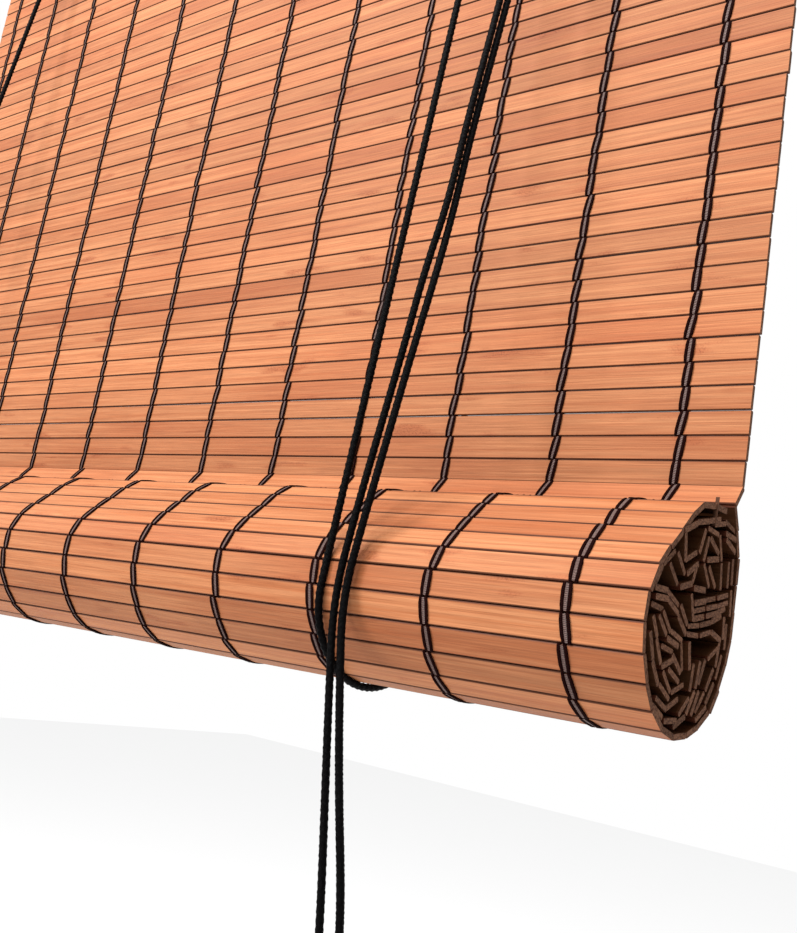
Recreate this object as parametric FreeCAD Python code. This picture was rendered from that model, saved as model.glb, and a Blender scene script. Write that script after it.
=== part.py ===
"""Bamboo roll up blind, partly rolled up and hanging from two wall hangers.

Frame: +X to the right seen from the room, -Y into the room, +Z up, in millimetres.
The origin is midway between the two wall screw holes, on the wall.
"""
import FreeCAD
import Part
import math
import os

V = FreeCAD.Vector

# ---------------------------------------------------------------- driving dimensions
WIDTH = 600.0            # length of every slat, and of the headrail
SLAT_PITCH = 9.1         # from one slat to the next down the curtain
SLAT_GAP = 0.5
SLAT_THICK = 2.0
FLAT_SLATS = 44          # slats hanging flat below the headrail
BACKED_SLATS = 3         # slats screwed to the headrail's back
SLATS_PER_NODE = 3
ROLLED_SLATS = 92        # slats wound in the roll

HEADRAIL_TOP = -10.0     # below the wall holes
HEADRAIL_HEIGHT = 28.0
HEADRAIL_DEPTH = 26.0
CURTAIN_BACK_Y = -12.0   # back face of the flat curtain

HANGER_SPACING = 500.0   # between the two wall holes
HANGER_THICK = 2.0
HANGER_WIDTH = 20.0
HANGER_RISE = 10.0       # above the wall hole
WALL_HOLE_R = 2.6
RAIL_SCREW_R = 1.6       # shank of every screw in the headrail
SCREW_FIT = 0.05         # radial gap round a screw's shank
SCREW_HEAD_R = 3.2
SCREW_HEAD_H = 1.6
SCREW_LENGTH = 12.0

COLUMNS = 12             # double stitching threads across the width
FIRST_COLUMN = 25.2      # from the right hand edge
COLUMN_STEP = 50.6
THREAD_WIDTH = 1.3
THREAD_PAIR = 3.4        # between the two threads of a column
THREAD_THICK = 0.7
THREAD_CLEAR = 0.05      # gap between a thread and the slats inside it

CORD_D = 2.8
CORD_CLEAR = 0.3         # gap between a lift cord and what it passes
RIGHT_CORD_X = 177.6     # where the right lift cord goes round the roll
LEFT_CORD_X = -215.0

WHEEL_CORD_R = 12.0      # radius of the cord's line on a pulley wheel
WHEEL_FLANGE = 2.4       # a wheel's rim stands this far outside the cord's line
WHEEL_WIDTH = 7.0
GROOVE_CLEAR = 0.2       # round the cord in a wheel's groove
WHEEL_DROP = 18.0        # wheel centres below the headrail
WHEEL_BORE_FIT = 0.05
WHEEL_PIN_R = 2.5
CHEEK_THICK = 1.5
CHEEK_GAP = 0.4          # from a wheel's side to the cheek
LOCK_WHEEL_X = 182.0
FRONT_WHEEL_Y = -34.0
REAR_WHEEL_Y = -24.0
SIDE_WHEEL_Y = -30.0

CAM_PIVOT_DX = 27.0      # from the wheel centre to the cam's pin
CAM_PIN_R = 1.8
CAM_HUB_R = 5.0
CAM_GRIP = 0.4           # from the cam's nose to the cords at rest
CAM_NOSE_DROP = 25.0     # degrees below level

# Tilt of each turning slat from hanging straight down, in degrees. Positive leans into the room
# going down. The first is nearest the flat curtain, and the roll itself follows the last.
REST_TILT = [36.4, -29.0, -21.8, -1.9, 0.0]

# The roll is an oval spiral: half width and half height at its outer end, and its loss per turn.
ROLL_HALF_WIDTH = 33.1
ROLL_HALF_HEIGHT = 38.3
TURN_PITCH = 4.0
ROLL_START_DROP = 5.9    # the outer end begins this far above the oval's centre

CORD_LOOP_R = ROLL_HALF_WIDTH + 3.3      # lift cord's line round the underside of the roll

# ---------------------------------------------------------------- places worked out from them
HEADRAIL_BOTTOM = HEADRAIL_TOP - HEADRAIL_HEIGHT
CURTAIN_FRONT_Y = CURTAIN_BACK_Y - SLAT_THICK
CURTAIN_MID_Y = CURTAIN_BACK_Y - SLAT_THICK / 2
HEADRAIL_FRONT_Y = CURTAIN_FRONT_Y - HEADRAIL_DEPTH
FLAT_END_Z = HEADRAIL_BOTTOM - FLAT_SLATS * SLAT_PITCH
WHEEL_Z = HEADRAIL_BOTTOM - WHEEL_DROP
WHEEL_R = WHEEL_CORD_R + WHEEL_FLANGE
CAM_PIVOT_X = LOCK_WHEEL_X + CAM_PIVOT_DX
SIDE_WHEEL_X = LEFT_CORD_X + WHEEL_CORD_R
MIDDLE_BACKED_Z = HEADRAIL_BOTTOM + (BACKED_SLATS // 2 + 0.5) * SLAT_PITCH
HANGER_XS = [-HANGER_SPACING / 2, HANGER_SPACING / 2]
COLUMN_XS = [WIDTH / 2 - FIRST_COLUMN - COLUMN_STEP * i for i in range(COLUMNS)]
CURTAIN_SCREW_XS = [WIDTH * share for share in (-0.45, -0.225, 0.0, 0.225, 0.45)]
LOCK_SCREW_XS = [LOCK_WHEEL_X - 10.0, LOCK_WHEEL_X + 33.0]
LOCK_SCREW_Y = (FRONT_WHEEL_Y + REAR_WHEEL_Y) / 2
SIDE_SCREW_XS = [SIDE_WHEEL_X - 19.0, SIDE_WHEEL_X + 19.0]


# ---------------------------------------------------------------- small makers
def save(name, *solids):
    shape = solids[0] if len(solids) == 1 else Part.makeCompound(list(solids))
    for solid in shape.Solids:
        if not solid.isValid():
            print("invalid solid in", name)
    shape.exportStep("parts/" + name + ".step")


def block(x0, x1, y0, y1, z0, z1):
    return Part.makeBox(x1 - x0, y1 - y0, z1 - z0, V(x0, y0, z0))


def rod_y(x, z, y0, y1, r):
    """A cylinder along Y."""
    return Part.makeCylinder(r, y1 - y0, V(x, y0, z), V(0, 1, 0))


def rod_z(x, y, z0, z1, r):
    return Part.makeCylinder(r, z1 - z0, V(x, y, z0), V(0, 0, 1))


def profile_x(points, x0, x1):
    """A closed outline of (y, z) points, drawn out along X."""
    corners = [V(x0, y, z) for y, z in points]
    wire = Part.makePolygon(corners + [corners[0]])
    return Part.Face(wire).extrude(V(x1 - x0, 0, 0))


def step_down(point, tilt, length):
    """The point that lies length below (y, z), leaning into the room by tilt degrees."""
    y, z = point
    return (y - length * math.sin(math.radians(tilt)), z - length * math.cos(math.radians(tilt)))


def slat_outline(top, bottom, half_thick, trim_top, trim_bottom):
    """Four corners of a slat's section between two hinge points, cut back at each end."""
    dy = bottom[0] - top[0]
    dz = bottom[1] - top[1]
    length = math.hypot(dy, dz)
    dy /= length
    dz /= length
    corners = []
    for along, side in ((trim_top, -1), (trim_top, 1), (length - trim_bottom, 1), (length - trim_bottom, -1)):
        corners.append((top[0] + dy * along + side * half_thick * dz,
                        top[1] + dz * along - side * half_thick * dy))
    return corners


def cord_line(points, radii=None):
    """Straight runs joined by tangent arcs. Returns the wire, its length and its smallest radius."""
    edges = []
    smallest = 1e9
    start = points[0]
    for i in range(1, len(points) - 1):
        before, corner, after = points[i - 1], points[i], points[i + 1]
        a = (before - corner)
        b = (after - corner)
        shorter = min(a.Length, b.Length)
        a.normalize()
        b.normalize()
        half_turn = (math.pi - a.getAngle(b)) / 2
        radius = 0.45 * shorter / math.tan(half_turn)
        if radii and radii[i]:
            radius = radii[i]
        smallest = min(smallest, radius)
        cut = radius * math.tan(half_turn)
        arc_start = corner + a * cut
        arc_end = corner + b * cut
        middle = (a + b)
        middle.normalize()
        arc_mid = corner + middle * (radius / math.cos(half_turn) - radius)
        if (arc_start - start).Length > 1e-4:
            edges.append(Part.LineSegment(start, arc_start).toShape())
        edges.append(Part.Arc(arc_start, arc_mid, arc_end).toShape())
        start = arc_end
    edges.append(Part.LineSegment(start, points[-1]).toShape())
    wire = Part.Wire(edges)
    return wire, wire.Length, smallest


def cord_tube(name, points, radii=None):
    wire, length, smallest = cord_line(points, radii)
    heading = points[1] - points[0]
    section = Part.Wire([Part.Circle(points[0], heading, CORD_D / 2).toShape()])
    tube = wire.makePipeShell([section], True, False)
    expected = math.pi * CORD_D ** 2 / 4 * length
    print("%-18s length %7.1f  smallest radius %5.1f  volume/expected %.4f"
          % (name, length, smallest, tube.Volume / expected))
    return tube


def arc_corners(centre_a, centre_b, radius, angles, step):
    """Corners of straight runs laid round a circle, each between two touching points."""
    reach = radius / math.cos(math.radians(step / 2))
    return [(centre_a + reach * math.cos(math.radians(t)), centre_b + reach * math.sin(math.radians(t)))
            for t in angles]


def screw(head_point, direction):
    """A pan head screw: its head stands on head_point, and its shank runs along direction."""
    head = Part.makeCylinder(SCREW_HEAD_R, SCREW_HEAD_H, head_point, direction * -1)
    shank = Part.makeCylinder(RAIL_SCREW_R, SCREW_LENGTH - 2.0, head_point, direction)
    tip_base = head_point + direction * (SCREW_LENGTH - 2.0)
    tip = Part.makeCone(RAIL_SCREW_R, 0.4, 2.0, tip_base, direction)
    return head.fuse(shank).fuse(tip).removeSplitter()


# ---------------------------------------------------------------- headrail and its hangers
def rail_holes():
    """Every hole drilled in the headrail."""
    r = RAIL_SCREW_R + SCREW_FIT
    holes = []
    for x in HANGER_XS:
        for dy in (7.0, 19.0):
            holes.append(rod_z(x, CURTAIN_FRONT_Y - dy, HEADRAIL_TOP - SCREW_LENGTH, HEADRAIL_TOP + 1, r))
    for x in CURTAIN_SCREW_XS:
        holes.append(rod_y(x, MIDDLE_BACKED_Z, CURTAIN_BACK_Y - SCREW_LENGTH - 1, CURTAIN_BACK_Y, r))
    for x in LOCK_SCREW_XS:
        holes.append(rod_z(x, LOCK_SCREW_Y, HEADRAIL_BOTTOM - 1, HEADRAIL_BOTTOM + SCREW_LENGTH, r))
    for x in SIDE_SCREW_XS:
        holes.append(rod_z(x, SIDE_WHEEL_Y, HEADRAIL_BOTTOM - 1, HEADRAIL_BOTTOM + SCREW_LENGTH, r))
    for x in (RIGHT_CORD_X, LEFT_CORD_X):
        holes.append(rod_y(x, MIDDLE_BACKED_Z, HEADRAIL_FRONT_Y - 1, CURTAIN_BACK_Y + 1,
                           CORD_D / 2 + CORD_CLEAR))
    return holes


def make_headrail():
    rail = block(-WIDTH / 2, WIDTH / 2, HEADRAIL_FRONT_Y, CURTAIN_FRONT_Y, HEADRAIL_BOTTOM, HEADRAIL_TOP)
    long_edges = [e for e in rail.Edges
                  if abs(e.Length - WIDTH) < 0.01 and e.BoundBox.YMax < CURTAIN_FRONT_Y - 1]
    rail = rail.makeFillet(1.5, long_edges)
    for hole in rail_holes():
        rail = rail.cut(hole)
    save("headrail", rail)


def make_hangers():
    """Steel angles: one leg lies on the headrail, the other stands against the wall."""
    screws = []
    for name, x in zip(("hanger_left", "hanger_right"), HANGER_XS):
        front = CURTAIN_FRONT_Y - HEADRAIL_DEPTH + 1.0
        half = HANGER_WIDTH / 2
        foot = block(x - half, x + half, front, 0, HEADRAIL_TOP, HEADRAIL_TOP + HANGER_THICK)
        leg = block(x - half, x + half, -HANGER_THICK, 0, HEADRAIL_TOP, HANGER_RISE)
        leg = leg.makeFillet(4.0, [e for e in leg.Edges if e.BoundBox.ZMin > HANGER_RISE - 0.1
                                   and e.BoundBox.XLength < 0.1])
        plate = foot.fuse(leg).removeSplitter()
        plate = plate.cut(rod_y(x, 0, -HANGER_THICK - 1, 1, WALL_HOLE_R))
        for dy in (7.0, 19.0):
            y = CURTAIN_FRONT_Y - dy
            plate = plate.cut(rod_z(x, y, HEADRAIL_TOP - 1, HEADRAIL_TOP + 5, RAIL_SCREW_R + SCREW_FIT))
            screws.append(screw(V(x, y, HEADRAIL_TOP + HANGER_THICK), V(0, 0, -1)))
        save(name, plate)
    save("hanger_screws", *screws)


# ---------------------------------------------------------------- flat curtain
def flat_slat(index):
    """Slat number index, counted up from the lowest flat one."""
    z0 = FLAT_END_Z + index * SLAT_PITCH + SLAT_GAP / 2
    z1 = z0 + SLAT_PITCH - SLAT_GAP
    slat = block(-WIDTH / 2, WIDTH / 2, CURTAIN_FRONT_Y, CURTAIN_BACK_Y, z0, z1)
    if z0 < MIDDLE_BACKED_Z < z1:
        for x in CURTAIN_SCREW_XS:
            slat = slat.cut(rod_y(x, MIDDLE_BACKED_Z, CURTAIN_FRONT_Y - 1, CURTAIN_BACK_Y + 1,
                                  RAIL_SCREW_R + SCREW_FIT))
        for x in (RIGHT_CORD_X, LEFT_CORD_X):
            slat = slat.cut(rod_y(x, MIDDLE_BACKED_Z, CURTAIN_FRONT_Y - 1, CURTAIN_BACK_Y + 1,
                                  CORD_D / 2 + CORD_CLEAR))
    return slat


def make_flat_slats():
    count = FLAT_SLATS + BACKED_SLATS
    group = 0
    for first in range(0, count, SLATS_PER_NODE):
        group += 1
        save("slats_%02d" % group, *[flat_slat(i) for i in range(first, min(first + SLATS_PER_NODE, count))])
    screws = [screw(V(x, CURTAIN_BACK_Y, MIDDLE_BACKED_Z), V(0, -1, 0)) for x in CURTAIN_SCREW_XS]
    save("curtain_screws", *screws)


def thread_xs():
    """Left side of each thread."""
    xs = []
    for x in COLUMN_XS:
        for side in (-0.5, 0.5):
            xs.append(x + side * THREAD_PAIR - THREAD_WIDTH / 2)
    return xs


def make_warp_threads():
    """Each thread runs down both faces of the flat slats and crosses in every gap."""
    front = CURTAIN_FRONT_Y - THREAD_CLEAR - THREAD_THICK
    back = CURTAIN_BACK_Y + THREAD_CLEAR + THREAD_THICK
    z0 = FLAT_END_Z + THREAD_CLEAR
    z1 = HEADRAIL_BOTTOM - THREAD_CLEAR
    corners = [(front, z0), (back, z0), (back, z1), (front, z1), (front, z0)]
    wires = [Part.makePolygon([V(0, y, z) for y, z in corners])]
    y0 = CURTAIN_FRONT_Y - THREAD_CLEAR
    y1 = CURTAIN_BACK_Y + THREAD_CLEAR
    for i in range(FLAT_SLATS):
        a = FLAT_END_Z + i * SLAT_PITCH + SLAT_GAP / 2 - THREAD_CLEAR
        b = FLAT_END_Z + (i + 1) * SLAT_PITCH - SLAT_GAP / 2 + THREAD_CLEAR
        wires.append(Part.makePolygon([V(0, y0, a), V(0, y1, a), V(0, y1, b), V(0, y0, b), V(0, y0, a)]))
    ladder = Part.makeFace(wires, "Part::FaceMakerBullseye").extrude(V(THREAD_WIDTH, 0, 0))
    threads = []
    for x in thread_xs():
        copy = ladder.copy()
        copy.translate(V(x, 0, 0))
        threads.extend(copy.Solids)
    save("warp_threads", *threads)


# ---------------------------------------------------------------- turning slats and the roll
def hinge_points():
    """Thread hinges from the flat curtain's lower edge to the roll, as (y, z)."""
    points = [(CURTAIN_MID_Y, FLAT_END_Z)]
    for tilt in REST_TILT:
        points.append(step_down(points[-1], tilt, SLAT_PITCH))
    return points


def hinge_trims():
    """How far the slats stop short of each hinge: more where the curtain bends."""
    tilts = [0.0] + REST_TILT + [0.0]
    trims = []
    for above, below in zip(tilts[:-1], tilts[1:]):
        bend = math.radians(abs(below - above))
        trims.append(SLAT_GAP / 2 + SLAT_THICK / 2 * math.tan(bend / 2))
    return trims


def make_turning_slats():
    points = hinge_points()
    trims = hinge_trims()
    trims[0] = trims[0] + 0.1
    for i in range(len(REST_TILT)):
        outline = slat_outline(points[i], points[i + 1], SLAT_THICK / 2, trims[i], trims[i + 1])
        save("turning_slat_%d" % (i + 1), profile_x(outline, -WIDTH / 2, WIDTH / 2))
        inner = slat_outline(points[i], points[i + 1], SLAT_THICK / 2 + THREAD_CLEAR,
                             trims[i] - THREAD_CLEAR, trims[i + 1] - THREAD_CLEAR)
        outer = slat_outline(points[i], points[i + 1], SLAT_THICK / 2 + THREAD_CLEAR + THREAD_THICK,
                             trims[i] + 0.8, trims[i + 1] + 0.8)
        loops = []
        for x in thread_xs():
            ring = profile_x(outer, x, x + THREAD_WIDTH).cut(profile_x(inner, x - 1, x + THREAD_WIDTH + 1))
            loops.extend(ring.Solids)
        save("thread_loops_%d" % (i + 1), *loops)


def roll_centre():
    y, z = hinge_points()[-1]
    start = math.asin(ROLL_START_DROP / ROLL_HALF_HEIGHT)
    return (y - ROLL_HALF_WIDTH * math.cos(start), z - ROLL_START_DROP)


def spiral_point(turned):
    """Middle of the rolled strip after turned radians, from its outer end at the back going down."""
    cy, cz = roll_centre()
    angle = math.asin(ROLL_START_DROP / ROLL_HALF_HEIGHT) - turned
    loss = TURN_PITCH * turned / (2 * math.pi)
    return (cy + (ROLL_HALF_WIDTH - loss) * math.cos(angle), cz + (ROLL_HALF_HEIGHT - loss) * math.sin(angle))


def roll_corners():
    """Ends of the rolled slats: each is one slat's pitch from the last, along the spiral."""
    corners = [hinge_points()[-1]]
    turned = 0.0
    for _ in range(ROLLED_SLATS):
        low, high = turned, turned + 1.6
        for _ in range(40):
            middle = (low + high) / 2
            y, z = spiral_point(middle)
            if math.hypot(y - corners[-1][0], z - corners[-1][1]) < SLAT_PITCH:
                low = middle
            else:
                high = middle
        turned = low
        corners.append(spiral_point(turned))
    return corners


def make_roll():
    """The rolled curtain as one strip, bent at each slat."""
    corners = roll_corners()
    half = SLAT_THICK / 2
    near = []
    far = []
    for i, corner in enumerate(corners):
        before = corners[max(i - 1, 0)]
        after = corners[min(i + 1, len(corners) - 1)]
        dy = after[0] - before[0]
        dz = after[1] - before[1]
        length = math.hypot(dy, dz)
        near.append((corner[0] + half * dz / length, corner[1] - half * dy / length))
        far.append((corner[0] - half * dz / length, corner[1] + half * dy / length))
    start = slat_outline(corners[0], corners[1], half, SLAT_GAP / 2, 0)
    near[0] = start[1]
    far[0] = start[0]
    save("rolled_turns", profile_x(near + far[::-1], -WIDTH / 2, WIDTH / 2))


# ---------------------------------------------------------------- pulleys and cord lock
def wheel(x, y):
    """A grooved wheel on a pin along Y: the groove is round at its floor and open to the rim."""
    groove_r = CORD_D / 2 + GROOVE_CLEAR
    body = rod_y(x, WHEEL_Z, y - WHEEL_WIDTH / 2, y + WHEEL_WIDTH / 2, WHEEL_R)
    floor = Part.makeTorus(WHEEL_CORD_R, groove_r, V(x, y, WHEEL_Z), V(0, 1, 0))
    mouth = rod_y(x, WHEEL_Z, y - groove_r, y + groove_r, WHEEL_R + 1)
    mouth = mouth.cut(rod_y(x, WHEEL_Z, y - WHEEL_WIDTH, y + WHEEL_WIDTH, WHEEL_CORD_R))
    bore = rod_y(x, WHEEL_Z, y - WHEEL_WIDTH, y + WHEEL_WIDTH, WHEEL_PIN_R + WHEEL_BORE_FIT)
    return body.cut(floor).cut(mouth).cut(bore)


def headed_pin(x, z, y0, y1, r, hole_r):
    """A pin riveted over outside both cheeks."""
    shank = rod_y(x, z, y0, y1, r)
    for end, direction in ((y0, -1), (y1, 1)):
        head = Part.makeCylinder(hole_r + 1.4, 1.2, V(x, end, z), V(0, direction, 0))
        shank = shank.fuse(head)
    return shank.removeSplitter()


def bracket(x0, x1, y0, y1, drop, holes, screw_xs, screw_y):
    """A folded steel U: a web under the headrail and two cheeks below it."""
    z1 = HEADRAIL_BOTTOM
    z0 = WHEEL_Z - drop
    body = block(x0, x1, y0, y1, z1 - CHEEK_THICK, z1)
    for a, b in ((y0, y0 + CHEEK_THICK), (y1 - CHEEK_THICK, y1)):
        cheek = block(x0, x1, a, b, z0, z1)
        low = [e for e in cheek.Edges if e.BoundBox.ZMax < z0 + 0.1 and e.BoundBox.XLength < 0.1]
        body = body.fuse(cheek.makeFillet(6.0, low))
    body = body.removeSplitter()
    for x, z, r in holes:
        body = body.cut(rod_y(x, z, y0 - 1, y1 + 1, r))
    for x in screw_xs:
        body = body.cut(rod_z(x, screw_y, z1 - CHEEK_THICK - 1, z1 + 1, RAIL_SCREW_R + SCREW_FIT))
    return body


def make_cord_lock():
    y0 = FRONT_WHEEL_Y - WHEEL_WIDTH / 2 - CHEEK_GAP - CHEEK_THICK
    y1 = REAR_WHEEL_Y + WHEEL_WIDTH / 2 + CHEEK_GAP + CHEEK_THICK
    holes = [(LOCK_WHEEL_X, WHEEL_Z, WHEEL_PIN_R), (CAM_PIVOT_X, WHEEL_Z, CAM_PIN_R)]
    save("lock_bracket", bracket(LOCK_WHEEL_X - 16, CAM_PIVOT_X + 10, y0, y1, 9.0, holes,
                                 LOCK_SCREW_XS, LOCK_SCREW_Y))
    save("lock_screws", *[screw(V(x, LOCK_SCREW_Y, HEADRAIL_BOTTOM - CHEEK_THICK), V(0, 0, 1))
                          for x in LOCK_SCREW_XS])
    save("front_wheel", wheel(LOCK_WHEEL_X, FRONT_WHEEL_Y))
    save("rear_wheel", wheel(LOCK_WHEEL_X, REAR_WHEEL_Y))
    spacer_y0 = FRONT_WHEEL_Y + WHEEL_WIDTH / 2 + 0.2
    spacer_y1 = REAR_WHEEL_Y - WHEEL_WIDTH / 2 - 0.2
    spacer = rod_y(LOCK_WHEEL_X, WHEEL_Z, spacer_y0, spacer_y1, WHEEL_PIN_R + 2.0)
    save("wheel_spacer", spacer.cut(rod_y(LOCK_WHEEL_X, WHEEL_Z, spacer_y0 - 1, spacer_y1 + 1, WHEEL_PIN_R)))
    save("wheel_pin", headed_pin(LOCK_WHEEL_X, WHEEL_Z, y0, y1, WHEEL_PIN_R, WHEEL_PIN_R))
    save("cam_pin", headed_pin(CAM_PIVOT_X, WHEEL_Z, y0, y1, CAM_PIN_R, CAM_PIN_R))
    make_cam(y0 + CHEEK_THICK + 0.2, y1 - CHEEK_THICK - 0.2)


def make_cam(y0, y1):
    """The locking cam: a toothed nose beside the cords, and a heavier tail that lifts it."""
    reach = CAM_PIVOT_X - (LOCK_WHEEL_X + WHEEL_CORD_R + CORD_D / 2 + CAM_GRIP)
    drop = math.radians(CAM_NOSE_DROP)
    nose = reach / math.cos(drop)
    teeth = 5
    outline = []
    for i in range(teeth * 2 + 1):
        angle = drop + math.radians(-2.0 + 40.0 * i / (teeth * 2))
        r = nose - (0.0 if i % 2 == 0 else 0.9) - 0.05 * i
        outline.append(V(CAM_PIVOT_X - r * math.cos(angle), y0, WHEEL_Z - r * math.sin(angle)))
    tail = [(2.0, -CAM_HUB_R), (8.0, -CAM_HUB_R - 3), (16.0, -15.0), (21.0, -13.0), (14.0, -2.0), (5.0, 4.4),
            (-3.0, CAM_HUB_R - 0.4)]
    for dx, dz in tail:
        outline.append(V(CAM_PIVOT_X + dx, y0, WHEEL_Z + dz))
    face = Part.Face(Part.makePolygon(outline + [outline[0]]))
    cam = face.extrude(V(0, y1 - y0, 0))
    cam = cam.cut(rod_y(CAM_PIVOT_X, WHEEL_Z, y0 - 1, y1 + 1, CAM_PIN_R + WHEEL_BORE_FIT))
    save("lock_cam", cam)


def make_side_pulley():
    y0 = SIDE_WHEEL_Y - WHEEL_WIDTH / 2 - CHEEK_GAP - CHEEK_THICK
    y1 = SIDE_WHEEL_Y + WHEEL_WIDTH / 2 + CHEEK_GAP + CHEEK_THICK
    pin_hole = (SIDE_WHEEL_X, WHEEL_Z, WHEEL_PIN_R)
    body = bracket(SIDE_WHEEL_X - 16, SIDE_WHEEL_X + 16, y0, y1, 9.0, [pin_hole], [], 0)
    for side in (-1, 1):
        xs = sorted((SIDE_WHEEL_X + side * 16, SIDE_WHEEL_X + side * 23))
        body = body.fuse(block(xs[0], xs[1], y0, y1, HEADRAIL_BOTTOM - CHEEK_THICK, HEADRAIL_BOTTOM))
    body = body.removeSplitter()
    for x in SIDE_SCREW_XS:
        body = body.cut(rod_z(x, SIDE_WHEEL_Y, HEADRAIL_BOTTOM - 3, HEADRAIL_BOTTOM + 1,
                              RAIL_SCREW_R + SCREW_FIT))
    save("side_bracket", body)
    save("side_screws", *[screw(V(x, SIDE_WHEEL_Y, HEADRAIL_BOTTOM - CHEEK_THICK), V(0, 0, 1))
                          for x in SIDE_SCREW_XS])
    save("side_wheel", wheel(SIDE_WHEEL_X, SIDE_WHEEL_Y))
    save("side_pin", headed_pin(SIDE_WHEEL_X, WHEEL_Z, y0, y1, WHEEL_PIN_R, WHEEL_PIN_R))


# ---------------------------------------------------------------- cords
LOOP_CENTRE_Y = roll_centre()[0] + 0.4   # middle of the lift cords' loop under the roll
LOOP_CENTRE_Z = roll_centre()[1] - 4.6
CORD_TOP_Y = -9.0        # back strand behind the headrail

# Points of the two pull cords from the lock down to their hank, one list for each.
PULL_A = [(194.0, -34.0, -80.0), (194.0, -35.8, -108.0), (193.8, -41.0, -155.0), (193.6, -47.5, -210.0),
          (193.2, -54.0, -262.0), (192.0, -59.0, -306.0), (192.0, -62.5, -341.0), (188.6, -65.5, -370.0),
          (187.6, -69.0, -402.0), (186.2, -73.2, -436.0), (185.6, -77.4, -466.0), (183.4, -78.8, -496.0),
          (188.0, -78.4, -526.0), (193.4, -78.0, -558.0), (199.4, -77.8, -592.0), (202.6, -77.6, -621.8)]
PULL_B = [(194.0, -24.0, -80.0), (194.4, -27.2, -108.0), (194.8, -36.0, -155.0), (194.6, -43.8, -210.0),
          (194.0, -50.4, -262.0), (192.6, -55.4, -306.0), (192.8, -59.0, -341.0), (193.0, -63.6, -370.0),
          (191.6, -68.2, -402.0), (190.8, -73.0, -436.0), (190.0, -77.2, -466.0), (187.4, -78.8, -496.0),
          (192.6, -78.2, -526.0), (199.4, -78.0, -558.0), (208.0, -77.6, -592.0), (211.0, -77.4, -621.8)]
HANK_X = 206.8
HANK_Y = -77.6
HANK_TOP = -622.0
HANK_LENGTH = 76.0
HANK_WIDTH = 28.0
HANK_DEPTH = 24.0
TIE_HEIGHT = 8.0
TIE_THICK = 2.0
PULL_TOP = -710.0
PULL_HEIGHT = 32.0
PULL_R = 9.0
KNOT_R = 3.4
STRAIGHT_BELOW_WHEEL = 20.0


def lift_loop(name, x, x_top, y_top):
    """From the knot on the headrail, down the back, round the roll and up to the wheel's left side."""
    step = 30.0
    hole_z = MIDDLE_BACKED_Z
    points = [V(x, HEADRAIL_FRONT_Y, hole_z), V(x, CORD_TOP_Y, hole_z)]
    radii = [None, 3.2]
    angles = [-15.0 - step * i for i in range(6)]
    for y, z in arc_corners(LOOP_CENTRE_Y, LOOP_CENTRE_Z, CORD_LOOP_R, angles, step):
        points.append(V(x, y, z))
        radii.append(CORD_LOOP_R)
    points.append(V(x_top, y_top, WHEEL_Z - STRAIGHT_BELOW_WHEEL))
    points.append(V(x_top, y_top, WHEEL_Z))
    radii[2] = 20.0
    radii[-1] = 20.0
    radii.extend([None, None])
    return cord_tube(name, points, radii)


def over_wheel(x, y, angles):
    """Corners of a cord laid over a wheel, seen from the room."""
    return [V(a, y, b) for a, b in arc_corners(x, WHEEL_Z, WHEEL_CORD_R, angles, 45.0)]


def make_lift_cords():
    save("lift_cord_right",
         lift_loop("lift_cord_right", RIGHT_CORD_X, LOCK_WHEEL_X - WHEEL_CORD_R, FRONT_WHEEL_Y))
    save("lift_cord_left", lift_loop("lift_cord_left", LEFT_CORD_X, LEFT_CORD_X, SIDE_WHEEL_Y))
    knots = [Part.makeSphere(KNOT_R, V(x, HEADRAIL_FRONT_Y - KNOT_R, MIDDLE_BACKED_Z))
             for x in (RIGHT_CORD_X, LEFT_CORD_X)]
    save("cord_knots", *knots)
    start = V(LEFT_CORD_X, SIDE_WHEEL_Y, WHEEL_Z)
    corners = over_wheel(SIDE_WHEEL_X, SIDE_WHEEL_Y, [157.5, 112.5])
    end = V(LOCK_WHEEL_X, REAR_WHEEL_Y, WHEEL_Z + WHEEL_CORD_R)
    radii = [None, WHEEL_CORD_R, WHEEL_CORD_R, None]
    save("cross_cord", cord_tube("cross_cord", [start] + corners + [end], radii))


def make_pull_cords():
    start_a = [V(LOCK_WHEEL_X - WHEEL_CORD_R, FRONT_WHEEL_Y, WHEEL_Z)]
    corners_a = over_wheel(LOCK_WHEEL_X, FRONT_WHEEL_Y, [157.5, 112.5, 67.5, 22.5])
    start_b = [V(LOCK_WHEEL_X, REAR_WHEEL_Y, WHEEL_Z + WHEEL_CORD_R)]
    corners_b = over_wheel(LOCK_WHEEL_X, REAR_WHEEL_Y, [67.5, 22.5])
    r = WHEEL_CORD_R
    free_a = [V(*p) for p in PULL_A]
    free_b = [V(*p) for p in PULL_B]
    save("pull_cord_a", cord_tube("pull_cord_a", start_a + corners_a + free_a,
                                  [None, r, r, r, r - 1] + [None] * len(free_a)))
    save("pull_cord_b", cord_tube("pull_cord_b", start_b + corners_b + free_b,
                                  [None, r, r - 1] + [None] * len(free_b)))


def rounded_block(width, depth, z0, z1, edge):
    body = block(HANK_X - width / 2, HANK_X + width / 2, HANK_Y - depth / 2, HANK_Y + depth / 2, z0, z1)
    return body.makeFillet(edge, [e for e in body.Edges if e.BoundBox.ZLength > 1])


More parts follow.
